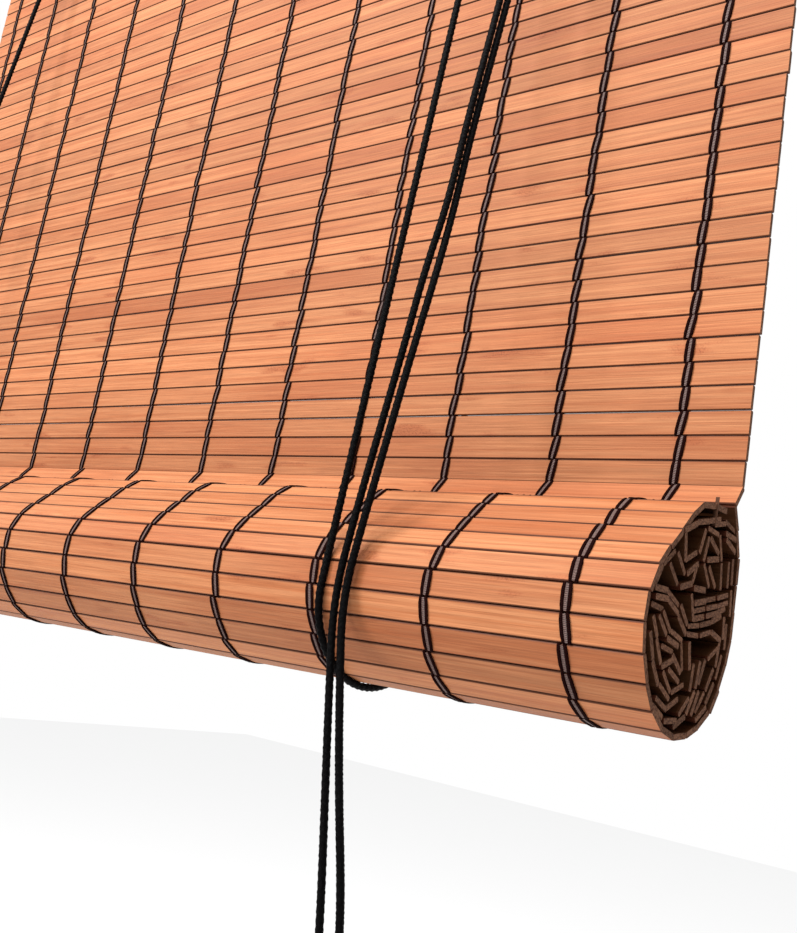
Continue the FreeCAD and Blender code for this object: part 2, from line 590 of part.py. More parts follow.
def make_hank():
    """The put away length of both cords, folded into a bundle with a tie round its waist."""
    z0 = HANK_TOP - HANK_LENGTH
    middle = (HANK_TOP + z0) / 2
    hank = rounded_block(HANK_WIDTH, HANK_DEPTH, z0, HANK_TOP, 9.0)
    ends = [e for e in hank.Edges if e.BoundBox.ZLength < 0.1]
    hank = hank.makeFillet(7.0, ends)
    band_w = HANK_WIDTH + 2 * TIE_THICK + 0.6
    band_d = HANK_DEPTH + 2 * TIE_THICK + 0.6
    tie = rounded_block(band_w, band_d, middle - TIE_HEIGHT / 2, middle + TIE_HEIGHT / 2, 11.0)
    inner = rounded_block(HANK_WIDTH + 0.6, HANK_DEPTH + 0.6, middle - TIE_HEIGHT, middle + TIE_HEIGHT, 9.3)
    save("cord_hank", hank)
    save("hank_tie", tie.cut(inner))
    save("pull_cord_ends", *[rod_z(HANK_X + dx, HANK_Y, PULL_TOP, z0, CORD_D / 2) for dx in (-1.7, 1.7)])


def make_cord_pull():
    """A turned wooden bell on the cords' ends."""
    z0 = PULL_TOP - PULL_HEIGHT
    half_profile = [(0.0, PULL_TOP), (4.5, PULL_TOP), (5.5, PULL_TOP - 6), (6.5, PULL_TOP - 14),
                    (PULL_R, z0 + 5), (PULL_R - 1.0, z0), (0.0, z0), (0.0, PULL_TOP)]
    outline = Part.makePolygon([V(HANK_X + r, HANK_Y, z) for r, z in half_profile])
    bell = Part.Face(outline).revolve(V(HANK_X, HANK_Y, 0), V(0, 0, 1), 360)
    save("cord_pull", bell)


def main():
    os.makedirs("parts", exist_ok=True)
    make_headrail()
    make_hangers()
    make_flat_slats()
    make_warp_threads()
    make_turning_slats()
    make_roll()
    make_cord_lock()
    make_side_pulley()
    make_lift_cords()
    make_pull_cords()
    make_hank()
    make_cord_pull()
    print("hinges", [(round(y, 2), round(z, 2)) for y, z in hinge_points()])
    print("roll centre", roll_centre(), "flat end", FLAT_END_Z)


main()
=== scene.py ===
"""Looks for the bamboo roll up blind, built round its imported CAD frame.

Blender works in metres. Every size and place below is in millimetres, in the part's own frame:
+X to the right seen from the room, -Y into the room, +Z up, and mm() turns a point into metres.
"""
import math
import random

import bpy
import numpy as np
from mathutils import Matrix, Vector


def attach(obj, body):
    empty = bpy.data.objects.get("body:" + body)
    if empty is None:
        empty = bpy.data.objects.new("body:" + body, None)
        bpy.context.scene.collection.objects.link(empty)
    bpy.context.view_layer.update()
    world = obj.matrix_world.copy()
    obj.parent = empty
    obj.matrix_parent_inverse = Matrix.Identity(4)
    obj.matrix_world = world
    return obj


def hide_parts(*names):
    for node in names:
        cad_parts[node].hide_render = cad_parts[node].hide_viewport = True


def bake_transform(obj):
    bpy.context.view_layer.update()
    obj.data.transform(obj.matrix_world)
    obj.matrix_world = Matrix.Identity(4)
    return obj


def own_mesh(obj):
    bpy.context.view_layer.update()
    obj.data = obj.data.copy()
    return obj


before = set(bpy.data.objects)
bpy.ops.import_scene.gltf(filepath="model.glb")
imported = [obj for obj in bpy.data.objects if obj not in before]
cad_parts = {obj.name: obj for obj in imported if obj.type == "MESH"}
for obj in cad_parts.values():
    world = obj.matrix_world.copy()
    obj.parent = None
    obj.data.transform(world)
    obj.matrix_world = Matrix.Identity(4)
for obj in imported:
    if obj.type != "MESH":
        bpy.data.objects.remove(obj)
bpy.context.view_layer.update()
rng = random.Random(7)
MM = 0.001


def mm(x, y, z):
    return (x * MM, y * MM, z * MM)


# ---------------------------------------------------------------- sizes, as in part.py
WIDTH = 600.0
SLAT_PITCH = 9.1
SLAT_GAP = 0.5
SLAT_THICK = 2.0
FLAT_SLATS = 44
BACKED_SLATS = 3
CURTAIN_MID_Y = -13.0
HEADRAIL_BOTTOM = -38.0
FLAT_END_Z = HEADRAIL_BOTTOM - FLAT_SLATS * SLAT_PITCH
COLUMNS = 12
FIRST_COLUMN = 25.2      # from the curtain's right edge to the first stitching column
COLUMN_STEP = 50.6
COLUMN_XS = [WIDTH / 2 - FIRST_COLUMN - COLUMN_STEP * i for i in range(COLUMNS)]
REST_TILT = [36.4, -29.0, -21.8, -1.9, 0.0]     # degrees, slat by slat from the curtain's foot to the roll
CORD_D = 2.8
HOLE_Z = -24.35          # height of the lift cords' holes through the headrail
RIGHT_CORD_X = 177.6
LEFT_CORD_X = -215.0
CORD_STRAY = 3.0         # how far the lift cords' loops hang left of their holes
LOCK_FRONT_Y = -34.0     # the right lift cord's and pull cord a's wheel
LOCK_REAR_Y = -24.0      # the cross cord's and pull cord b's wheel
SIDE_WHEEL_Y = -30.0
WHEEL_Z = -56.0
WHEEL_CORD_R = 12.0
LOCK_WHEEL_X = 182.0
SIDE_WHEEL_X = -203.0
LOOP_CENTRE = (-42.6, -490.8)
LOOP_R = 34.9            # the tube of part.py is 1.5 further out, round its own roll
HANK = (206.8, -77.6, -660.0)
HANK_HALF_HEIGHT = 38.0
PULL_TOP = -710.0


# ---------------------------------------------------------------- camera
def make_camera():
    """The photograph's view: from below the roll and to its right, leaning a little."""
    place = Vector(mm(437.26, -359.38, -513.77))
    target = Vector(mm(184.82, -57.17, -443.42))
    lean = math.radians(9.41)
    forward = (target - place).normalized()
    level = forward.cross(Vector((0, 0, 1))).normalized()
    upright = level.cross(forward)
    up = upright * math.cos(lean) - level * math.sin(lean)
    right = forward.cross(up)
    camera = bpy.data.objects.new("camera", bpy.data.cameras.new("camera"))
    camera.matrix_world = Matrix.Translation(place) @ Matrix((right, up, -forward)).transposed().to_4x4()
    camera.data.sensor_fit = "HORIZONTAL"
    camera.data.sensor_width = 36.0
    camera.data.lens = 48.31
    camera.data.clip_start = 0.01
    bpy.context.scene.collection.objects.link(camera)
    bpy.context.scene.camera = camera


make_camera()


# ---------------------------------------------------------------- node material helpers
class Shader:
    """A principled material and short ways to add nodes to it."""

    def __init__(self, name):
        self.material = bpy.data.materials.new(name)
        self.material.use_nodes = True
        self.nodes = self.material.node_tree.nodes
        self.links = self.material.node_tree.links
        self.surface = self.nodes["Principled BSDF"]

    def add(self, kind, **inputs):
        node = self.nodes.new(kind)
        for name, value in inputs.items():
            self.put(node, name.replace("_", " "), value)
        return node

    def put(self, node, name, value):
        socket = node.inputs[int(name)] if name.isdigit() else node.inputs[name]
        if isinstance(value, bpy.types.NodeSocket):
            self.links.new(value, socket)
        else:
            socket.default_value = value

    def math(self, operation, a, b=0.0):
        node = self.nodes.new("ShaderNodeMath")
        node.operation = operation
        self.put(node, "0", a)
        self.put(node, "1", b)
        return node.outputs[0]

    def spread(self, value, low, high, to_low=0.0, to_high=1.0):
        """Maps low..high to to_low..to_high, clamped."""
        node = self.nodes.new("ShaderNodeMapRange")
        for name, number in (("Value", value), ("From Min", low), ("From Max", high),
                             ("To Min", to_low), ("To Max", to_high)):
            self.put(node, name, number)
        return node.outputs[0]

    def vector(self, x, y, z):
        node = self.nodes.new("ShaderNodeCombineXYZ")
        for i, value in enumerate((x, y, z)):
            self.put(node, str(i), value)
        return node.outputs[0]

    def noise(self, vector, scale=1.0, detail=3.0, rough=0.55):
        node = self.nodes.new("ShaderNodeTexNoise")
        self.put(node, "Vector", vector)
        self.put(node, "Scale", scale)
        self.put(node, "Detail", detail)
        self.put(node, "Roughness", rough)
        return node.outputs["Fac"]

    def mix(self, share, a, b, kind="MIX"):
        node = self.nodes.new("ShaderNodeMix")
        node.data_type = "RGBA"
        node.blend_type = kind
        self.put(node, "0", share)
        self.put(node, "6", a)
        self.put(node, "7", b)
        return node.outputs[2]

    def bump(self, height, strength, distance):
        node = self.nodes.new("ShaderNodeBump")
        self.put(node, "Strength", strength)
        self.put(node, "Distance", distance)
        self.put(node, "Height", height)
        self.links.new(node.outputs[0], self.surface.inputs["Normal"])

    def set(self, **values):
        for name, value in values.items():
            self.put(self.surface, name.replace("_", " "), value)
        return self.material


def along_and_across(shader):
    """The slat's own coordinates in metres: along its length, and across its width."""
    node = shader.nodes.new("ShaderNodeUVMap")
    node.uv_map = "grain"
    parts = shader.nodes.new("ShaderNodeSeparateXYZ")
    shader.links.new(node.outputs[0], parts.inputs[0])
    return parts.outputs[0], parts.outputs[1]


FULL_TURN = 6.2832


def own_value(shader, name):
    node = shader.nodes.new("ShaderNodeAttribute")
    node.attribute_name = name
    return node.outputs["Fac"]


# Colours are linear, so they look darker as numbers than on screen.
def bamboo_face(name, painted_shade_factor, gloss):
    """Split bamboo: long streaks, fine fibres, redder speckled nodes, and a tone of its own per slat. The
    long edges and thin sides go near black as painted shade of the gaps between slats, and the second
    argument scales the whole colour down as painted shade.
    """
    s = Shader(name)
    along, across = along_and_across(s)
    seed = own_value(s, "seed")
    tone = own_value(s, "tone")
    band = s.math("MULTIPLY", seed, 50.0)
    streak = s.noise(s.vector(s.math("MULTIPLY", along, 9.0), s.math("MULTIPLY", across, 620.0), band))
    fibre = s.noise(s.vector(s.math("MULTIPLY", along, 38.0), s.math("MULTIPLY", across, 2400.0), band))
    pore = s.noise(s.vector(s.math("MULTIPLY", along, 90.0), s.math("MULTIPLY", across, 4600.0), band),
                   detail=2.0)
    cloud = s.noise(s.vector(s.math("MULTIPLY", along, 7.0), 0.5, s.math("MULTIPLY", seed, 91.0)), detail=1.0)
    place = s.noise(s.vector(s.math("MULTIPLY", along, 30.0), s.math("MULTIPLY", across, 160.0),
                             s.math("MULTIPLY", seed, 37.0)), detail=1.5)
    node_patch = s.spread(place, 0.64, 0.74)
    speck = s.spread(s.noise(s.vector(along, across, seed), scale=1500.0, detail=2.0), 0.52, 0.60)
    pale = (0.395, 0.160, 0.069, 1)
    warm = (0.305, 0.101, 0.037, 1)
    red = (0.260, 0.064, 0.020, 1)
    dark = (0.125, 0.026, 0.009, 1)
    colour = s.mix(s.spread(streak, 0.34, 0.66), warm, pale)
    colour = s.mix(s.math("MULTIPLY", s.spread(cloud, 0.45, 0.75), 0.55), colour, red)
    colour = s.mix(s.math("MULTIPLY", node_patch, 0.5), colour, red)
    speckled = s.math("MULTIPLY", s.math("MULTIPLY", speck, node_patch), 0.45)
    colour = s.mix(speckled, colour, dark)
    colour = s.mix(s.spread(pore, 0.56, 0.74, 0.0, 0.32), colour, dark)
    slat_shade = s.spread(tone, 0.0, 1.0, 0.76, 1.10)
    shade = s.math("MULTIPLY", slat_shade, s.spread(fibre, 0.34, 0.66, 0.86, 1.14))
    # Painted shade: the second argument scales the colour down, 1.0 for the lit bamboo and far lower for the
    # copy used inside the roll.
    shade = s.math("MULTIPLY", shade, painted_shade_factor)
    colour = s.mix(1.0, colour, s.vector(shade, shade, shade), "MULTIPLY")
    # Painted shade: towards the long edges and over the thin sides the colour turns near black brown,
    # standing in for the shade in the gaps between slats.
    edge = s.spread(s.math("ABSOLUTE", across), 0.0039, 0.0043, 0.0, 0.9)
    colour = s.mix(edge, colour, (0.040, 0.010, 0.005, 1))
    s.bump(s.math("ADD", s.math("MULTIPLY", streak, 0.4), s.math("MULTIPLY", fibre, 0.6)), 0.5, 0.0003)
    rough = s.spread(streak, 0.3, 0.7, 0.50, 0.64)
    return s.set(Base_Color=colour, Roughness=rough, Specular_IOR_Level=gloss)


def bamboo_end():
    """The sawn ends of the slats: grey brown with darker fibre bundles, both colours kept dark as painted
    shade, since the roll's end faces away from the light.
    """
    s = Shader("bamboo_end")
    across, through = along_and_across(s)
    seed = own_value(s, "seed")
    tone = own_value(s, "tone")
    grain = s.noise(s.vector(s.math("MULTIPLY", across, 900.0), s.math("MULTIPLY", through, 2600.0), seed))
    # Partly painted shade: the grain pattern is the end grain's own, but both colours are held darker than it
    # to stand in for the shade on the roll's end.
    colour = s.mix(s.spread(grain, 0.35, 0.68), (0.036, 0.014, 0.008, 1), (0.155, 0.074, 0.042, 1))
    shade = s.spread(tone, 0.0, 1.0, 0.75, 1.2)
    colour = s.mix(1.0, colour, s.vector(shade, shade, shade), "MULTIPLY")
    s.bump(grain, 0.6, 0.0003)
    return s.set(Base_Color=colour, Roughness=0.8, Specular_IOR_Level=0.06)


def thread_material(name, dark, light, rough, spec):
    """Waxed thread: two plies wound round each other show as slanting ridges."""
    s = Shader(name)
    along, round_it = along_and_across(s)
    turn = s.math("ADD", s.math("MULTIPLY", along, 5200.0), s.math("MULTIPLY", round_it, FULL_TURN))
    ply = s.math("ABSOLUTE", s.math("SINE", turn))
    fuzz = s.noise(s.vector(s.math("MULTIPLY", along, 3000.0), s.math("MULTIPLY", round_it, 9.0), 0.0))
    mixed = s.math("MULTIPLY", s.spread(fuzz, 0.3, 0.75), ply)
    s.bump(ply, 0.8, 0.0002)
    return s.set(Base_Color=s.mix(mixed, dark, light), Roughness=rough, Specular_IOR_Level=spec)


def cord_material():
    """Black braided cord: the braid is in its mesh, and this adds the yarns' slant and lint."""
    s = Shader("cord_braid")
    along, round_it = along_and_across(s)
    run = s.math("MULTIPLY", along, 4200.0)
    turn = s.math("MULTIPLY", round_it, 4 * FULL_TURN)
    one_way = s.math("SINE", s.math("ADD", run, turn))
    other = s.math("SINE", s.math("SUBTRACT", run, turn))
    yarn = s.math("ABSOLUTE", s.math("MAXIMUM", one_way, other))
    lint = s.noise(s.vector(s.math("MULTIPLY", along, 900.0), s.math("MULTIPLY", round_it, 12.0), 0.0))
    colour = s.mix(s.spread(lint, 0.45, 0.8), (0.0006, 0.0005, 0.0006, 1), (0.0035, 0.003, 0.0035, 1))
    s.bump(yarn, 0.5, 0.0002)
    return s.set(Base_Color=colour, Roughness=0.5, Specular_IOR_Level=0.03)


def wood_material(name, dark, light, direction, rough, spec):
    """Planed or turned wood whose grain runs along X or Z of the part."""
    s = Shader(name)
    place = s.nodes.new("ShaderNodeTexCoord").outputs["Object"]
    parts = s.nodes.new("ShaderNodeSeparateXYZ")
    s.links.new(place, parts.inputs[0])
    x, y, z = parts.outputs
    if direction == "x":
        stretch = (5.0, 160.0, 160.0)
    else:
        stretch = (240.0, 240.0, 22.0)
    stretched = s.vector(*[s.math("MULTIPLY", value, scale) for value, scale in zip((x, y, z), stretch)])
    ring = s.noise(stretched, detail=4.0)
    pore = s.noise(stretched, scale=7.0, detail=2.0)
    colour = s.mix(s.spread(ring, 0.32, 0.70), dark, light)
    colour = s.mix(s.spread(pore, 0.58, 0.75, 0.0, 0.4), colour, dark)
    s.bump(s.math("ADD", ring, pore), 0.35, 0.0003)
    return s.set(Base_Color=colour, Roughness=rough, Specular_IOR_Level=spec)


def metal_material(name, colour, rough, direction_scale):
    s = Shader(name)
    place = s.nodes.new("ShaderNodeTexCoord").outputs["Object"]
    mapping = s.add("ShaderNodeMapping", Vector=place, Scale=direction_scale)
    brushed = s.noise(mapping.outputs[0], scale=1.0, detail=4.0)
    spots = s.noise(place, scale=260.0, detail=3.0)
    tinted = s.mix(s.spread(spots, 0.4, 0.7), colour, tuple(c * 0.72 for c in colour[:3]) + (1,))
    s.bump(brushed, 0.15, 0.0002)
    return s.set(Base_Color=tinted, Metallic=1.0, Roughness=s.spread(brushed, 0.3, 0.7, rough, rough + 0.16))


def plastic_material():
    s = Shader("wheel_plastic_moulded")
    place = s.nodes.new("ShaderNodeTexCoord").outputs["Object"]
    grain = s.noise(place, scale=1600.0, detail=2.0)
    cloud = s.noise(place, scale=90.0, detail=2.0)
    colour = s.mix(cloud, (0.020, 0.018, 0.017, 1), (0.040, 0.036, 0.034, 1))
    s.bump(grain, 0.25, 0.0002)
    return s.set(Base_Color=colour, Roughness=0.42)


FACE = bamboo_face("bamboo_face", 1.0, 0.14)
# Painted shade: a copy of the bamboo at 0.11 of its brightness, for the faces turned into the roll and the
# slats inside it.
PAINTED_SHADE_INSIDE = bamboo_face("bamboo_inside_roll_painted_shade", 0.11, 0.03)
END = bamboo_end()
THREAD = thread_material("stitch_thread", (0.004, 0.0006, 0.0005, 1), (0.016, 0.0024, 0.0018, 1),
                         0.75, 0.02)
FILLER = thread_material("stitch_filler", (0.035, 0.015, 0.012, 1), (0.20, 0.120, 0.100, 1),
                         0.5, 0.3)
CORD = cord_material()
RAIL_WOOD = wood_material("rail_wood_planed", (0.17, 0.060, 0.024, 1), (0.32, 0.125, 0.052, 1), "x",
                          0.5, 0.25)
PULL_WOOD = wood_material("pull_wood_lacquered", (0.055, 0.020, 0.009, 1), (0.16, 0.065, 0.028, 1), "z",
                          0.28, 0.5)
STEEL = metal_material("zinc_plated_steel", (0.30, 0.30, 0.29, 1), 0.34, (40.0, 900.0, 900.0))
PINS = metal_material("turned_steel", (0.24, 0.24, 0.24, 1), 0.30, (900.0, 60.0, 900.0))
WHEEL = plastic_material()


# ---------------------------------------------------------------- mesh helper
class Builder:
    """Gathers points and faces with the slat's own coordinates, then makes one object of them."""

    def __init__(self):
        self.points = []
        self.faces = []
        self.face_coords = []
        self.face_kind = []
        self.seeds = []
        self.tones = []

    def add_points(self, points, seed=0.0, tone=0.5):
        first = len(self.points)
        self.points.extend(points)
        self.seeds.extend([seed] * len(points))
        self.tones.extend([tone] * len(points))
        return first

    def add_face(self, corners, coords, kind=0):
        self.faces.append(corners)
        self.face_coords.append(coords)
        self.face_kind.append(kind)

    def build(self, name, materials, smooth=False):
        mesh = bpy.data.meshes.new(name)
        mesh.from_pydata([mm(*p) for p in self.points], [], self.faces)
        layer = mesh.uv_layers.new(name="grain")
        flat = [value * MM for coords in self.face_coords for pair in coords for value in pair]
        layer.data.foreach_set("uv", flat)
        for attribute, values in (("seed", self.seeds), ("tone", self.tones)):
            mesh.attributes.new(attribute, "FLOAT", "POINT").data.foreach_set("value", values)
        for material in materials:
            mesh.materials.append(material)
        mesh.polygons.foreach_set("material_index", self.face_kind)
        mesh.polygons.foreach_set("use_smooth", [smooth] * len(mesh.polygons))
        mesh.update()
        piece = bpy.data.objects.new(name, mesh)
        bpy.context.scene.collection.objects.link(piece)
        return piece


# ---------------------------------------------------------------- slats and their stitching
class Slat:
    """One slat between two thread lines, given as (y, z) points above and below.

    outward is a (y, z) point that the slat's outer face turns away from.
    """

    def __init__(self, top, bottom, outward=None, trim=SLAT_GAP / 2, thick=SLAT_THICK):
        self.seed = rng.random()
        self.tone = min(1.0, max(0.0, rng.gauss(0.55, 0.22)))
        dy = bottom[0] - top[0]
        dz = bottom[1] - top[1]
        length = math.hypot(dy, dz)
        self.across = (dy / length, dz / length)
        self.normal = (dz / length, -dy / length)
        self.middle = ((top[0] + bottom[0]) / 2, (top[1] + bottom[1]) / 2)
        self.half = length / 2 - trim
        self.thick = thick
        if outward:
            away_y = (self.middle[0] - outward[0]) * self.normal[0]
            away_z = (self.middle[1] - outward[1]) * self.normal[1]
            if away_y + away_z < 0:
                self.normal = (-self.normal[0], -self.normal[1])

    def point(self, x, a, b):
        """A point a across and b out of the slat's middle."""
        return (x, self.middle[0] + a * self.across[0] + b * self.normal[0],
                self.middle[1] + a * self.across[1] + b * self.normal[1])


def add_slat(builder, slat, stations, wander, inset=0.6, kinds=(0, 0)):
    """A long bar with eased edges that wanders a little. kinds are the materials of its two faces."""
    half = slat.half
    thick = slat.thick / 2
    ease = 0.35
    section = [(-half + ease, thick), (half - ease, thick), (half, thick - ease), (half, -thick + ease),
               (half - ease, -thick), (-half + ease, -thick), (-half, -thick + ease), (-half, thick - ease)]
    waves = [(rng.uniform(0.6, 3.0), rng.uniform(0, 6.28), rng.uniform(0.3, 1.0)) for _ in range(3)]
    lift = [(rng.uniform(0.6, 2.6), rng.uniform(0, 6.28), rng.uniform(0.3, 1.0)) for _ in range(2)]
    left = -WIDTH / 2 + rng.uniform(0, inset)
    right = WIDTH / 2 - rng.uniform(0, inset)
    turn = rng.uniform(-1, 1) * wander * 0.02
    rings = []
    for i in range(stations + 1):
        x = left + (right - left) * i / stations
        share = x / WIDTH * 6.28
        side = wander * 0.4 * sum(size * math.sin(rate * share + phase) for rate, phase, size in waves) / 3
        out = wander * 0.4 * sum(size * math.sin(rate * share + phase) for rate, phase, size in lift) / 2
        ring = [slat.point(x, a + side, b + out + a * turn) for a, b in section]
        rings.append((x, builder.add_points(ring, slat.seed, slat.tone)))
    count = len(section)
    for (x0, first), (x1, second) in zip(rings[:-1], rings[1:]):
        for k in range(count):
            n = (k + 1) % count
            v0 = section[k][0]
            v1 = section[n][0]
            kind = kinds[1] if 3 <= k <= 5 else kinds[0]
            builder.add_face([first + k, second + k, second + n, first + n],
                             [(x0, v0), (x1, v0), (x1, v1), (x0, v1)], kind)
    builder.add_face([rings[0][1] + k for k in range(count)], list(section), 1)
    builder.add_face([rings[-1][1] + k for k in reversed(range(count))], list(reversed(section)), 1)


def add_stitch(builder, slat, path, width, thick, kind):
    """A flattened thread swept along path, a list of (x, across, out) on one slat."""
    sides = 6
    rings = []
    run = 0.0
    for i, here in enumerate(path):
        before = path[max(i - 1, 0)]
        after = path[min(i + 1, len(path) - 1)]
        da = after[1] - before[1]
        db = after[2] - before[2]
        length = math.hypot(da, db) or 1.0
        up = (-db / length, da / length)
        ring = []
        for k in range(sides):
            angle = 2 * math.pi * k / sides
            dx = math.cos(angle) * width / 2
            out = math.sin(angle) * thick / 2
            ring.append(slat.point(here[0] + dx, here[1] + up[0] * out, here[2] + up[1] * out))
        if i:
            run += math.dist(here, before)
        rings.append((run, builder.add_points(ring)))
    for (r0, first), (r1, second) in zip(rings[:-1], rings[1:]):
        for k in range(sides):
            n = (k + 1) % sides
            v0 = k / sides / MM
            v1 = (k + 1) / sides / MM
            builder.add_face([first + k, second + k, second + n, first + n],
                             [(r0, v0), (r1, v0), (r1, v1), (r0, v1)], kind)


def stitch_slat(builder, slat, columns, spread, width, back=True):
    """A double thread and its pale filler over each face of a slat, drawn in at both edges."""
    edge = slat.half
    face = slat.thick / 2 + 0.3
    for column in columns:
        jog = min(0.9, max(-0.9, rng.gauss(0.0, 0.42)))
        slope = rng.uniform(0.1, 0.75)
        for out_sign in ((1, -1) if back else (1,)):
            steps = [(-edge - 0.3, 0.15), (-edge + 0.15, 0.92), (-edge * 0.55, 1.05), (0.0, 1.1),
                     (edge * 0.55, 1.05), (edge - 0.15, 0.92), (edge + 0.3, 0.15)]
            for side in (-1, 0, 1):
                path = []
                for a, out in steps:
                    near_edge = min(1.0, (edge + 0.3 - abs(a)) / 1.6)
                    x = column + jog - slope * a / edge
                    x += side * spread * (0.72 + 0.28 * near_edge)
                    height = out * face if side else out * face * 0.9
                    path.append((x, a, out_sign * height))
                if side:
                    add_stitch(builder, slat, path, width, 0.75, 0)
                else:
                    add_stitch(builder, slat, path[1:-1], spread * 2 - width + 0.5, 0.5, 1)


def hinge_points():
    points = [(CURTAIN_MID_Y, FLAT_END_Z)]
    for tilt in REST_TILT:
        angle = math.radians(tilt)
        y, z = points[-1]
        points.append((y - SLAT_PITCH * math.sin(angle), z - SLAT_PITCH * math.cos(angle)))
    return points


def make_flat_curtain():
    slats = Builder()
    threads = Builder()
    for i in range(FLAT_SLATS + BACKED_SLATS):
        top = (CURTAIN_MID_Y, FLAT_END_Z + (i + 1) * SLAT_PITCH + rng.uniform(-0.05, 0.05))
        bottom = (CURTAIN_MID_Y, FLAT_END_Z + i * SLAT_PITCH + rng.uniform(-0.05, 0.05))
        slat = Slat(top, bottom, outward=(0, top[1]), trim=rng.choice((0.08, 0.12, 0.16, 0.22)))
        add_slat(slats, slat, 30, 0.25)
        if i < FLAT_SLATS:
            stitch_slat(threads, slat, COLUMN_XS, 1.2, 1.3)
    curtain = slats.build("flat_curtain", [FACE, END])
    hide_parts(*["slats_%02d" % (i + 1) for i in range(16)])
    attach(curtain, "root")
    stitching = threads.build("flat_stitching", [THREAD, FILLER], smooth=True)
    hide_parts("warp_threads")
    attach(stitching, "root")


def drift(x):
    """How far a thread column strays sideways on the roll: most in the middle, nothing at the ends."""
    return -8.0 * math.sin(math.pi * (WIDTH / 2 - x) / WIDTH)


def make_turning_slats():
    hinges = hinge_points()
    bodies = ["tilted_slat", "back_slat_1", "back_slat_2", "back_slat_3", "back_slat_4"]
    for i, body in enumerate(bodies):
        slats = Builder()
        threads = Builder()
        behind_roll = i > 0
        outward = (-60, -460) if behind_roll else (40, -460)
        slat = Slat(hinges[i], hinges[i + 1], outward=outward, trim=0.05)
        # Painted shade: behind the roll, the face turned to the roll takes the darker copy of the bamboo.
        add_slat(slats, slat, 30, 0.25, kinds=(0, 2) if behind_roll else (0, 0))
        columns = [x + drift(x) * i / 5.0 for x in COLUMN_XS]
        stitch_slat(threads, slat, columns, 1.2, 1.3, back=not behind_roll)
        piece = slats.build("turning_slat_look_%d" % (i + 1), [FACE, END, PAINTED_SHADE_INSIDE])
        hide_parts("turning_slat_%d" % (i + 1))
        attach(piece, body)
        stitching = threads.build("turning_stitching_%d" % (i + 1), [THREAD, FILLER], smooth=True)
        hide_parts("thread_loops_%d" % (i + 1))
        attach(stitching, body)


